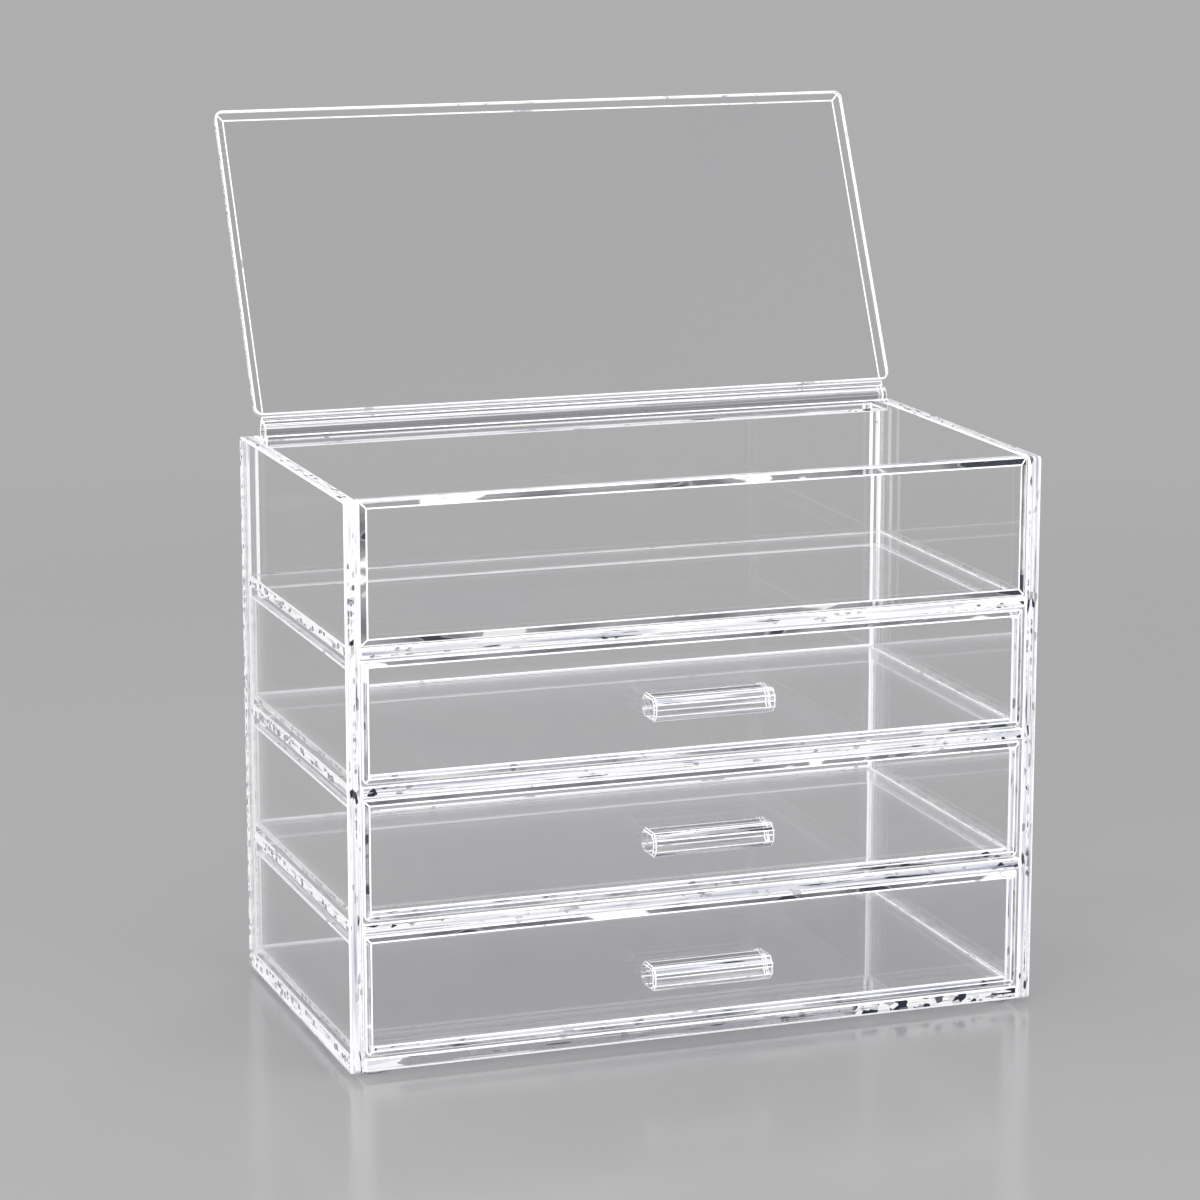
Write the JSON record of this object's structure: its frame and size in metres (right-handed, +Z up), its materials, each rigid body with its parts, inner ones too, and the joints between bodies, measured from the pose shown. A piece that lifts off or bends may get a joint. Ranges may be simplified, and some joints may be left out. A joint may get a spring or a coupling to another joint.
{
  "type": "cotton pad holder with drawers",
  "caption": "Clear acrylic box for cotton pads: an open tray under a hinged lid that tips back, above sliding drawers with faceted bar handles, on small soft feet.",
  "frame": {"origin": "bottom centre of the whole object with its lid tipped back, on the surface that the feet stand on", "axes": "+Z up, -Y out of the drawers' fronts, +X to the right of someone facing the drawers"},
  "size_m": [0.25, 0.1878, 0.3084],
  "materials": {
    "clear_acrylic": "flame-polished water-clear acrylic",
    "soft_foot": "milky translucent silicone"
  },
  "bodies": {
    "cabinet": {"left_side_panel": "clear_acrylic", "right_side_panel": "clear_acrylic", "base_panel": "clear_acrylic", "back_panel": "clear_acrylic", "lower_shelf": "clear_acrylic", "upper_shelf": "clear_acrylic", "tray_floor": "clear_acrylic", "tray_front_panel": "clear_acrylic", "hinge_socket_strip": "clear_acrylic", "front_left_foot": "soft_foot", "front_right_foot": "soft_foot", "back_left_foot": "soft_foot", "back_right_foot": "soft_foot"},
    "lid": {"lid_panel": "clear_acrylic", "lid_hinge_rod": "clear_acrylic"},
    "lower_drawer": {"lower_drawer_front": "clear_acrylic", "lower_drawer_left_wall": "clear_acrylic", "lower_drawer_right_wall": "clear_acrylic", "lower_drawer_back_wall": "clear_acrylic", "lower_drawer_floor": "clear_acrylic", "lower_drawer_handle": "clear_acrylic"},
    "middle_drawer": {"middle_drawer_front": "clear_acrylic", "middle_drawer_left_wall": "clear_acrylic", "middle_drawer_right_wall": "clear_acrylic", "middle_drawer_back_wall": "clear_acrylic", "middle_drawer_floor": "clear_acrylic", "middle_drawer_handle": "clear_acrylic"},
    "upper_drawer": {"upper_drawer_front": "clear_acrylic", "upper_drawer_left_wall": "clear_acrylic", "upper_drawer_right_wall": "clear_acrylic", "upper_drawer_back_wall": "clear_acrylic", "upper_drawer_floor": "clear_acrylic", "upper_drawer_handle": "clear_acrylic"}
  },
  "joints": [
    {"name": "lid_hinge", "type": "hinge", "parent": "cabinet", "child": "lid", "pos_m": [0, 0.04135, 0.2], "axis": [1, 0, 0], "range_deg": [0, 116]},
    {"name": "lower_drawer_slide", "type": "slide", "parent": "cabinet", "child": "lower_drawer", "axis": [0, -1, 0], "range_m": [0, 0.09]},
    {"name": "middle_drawer_slide", "type": "slide", "parent": "cabinet", "child": "middle_drawer", "axis": [0, -1, 0], "range_m": [0, 0.09]},
    {"name": "upper_drawer_slide", "type": "slide", "parent": "cabinet", "child": "upper_drawer", "axis": [0, -1, 0], "range_m": [0, 0.09]}
  ]
}
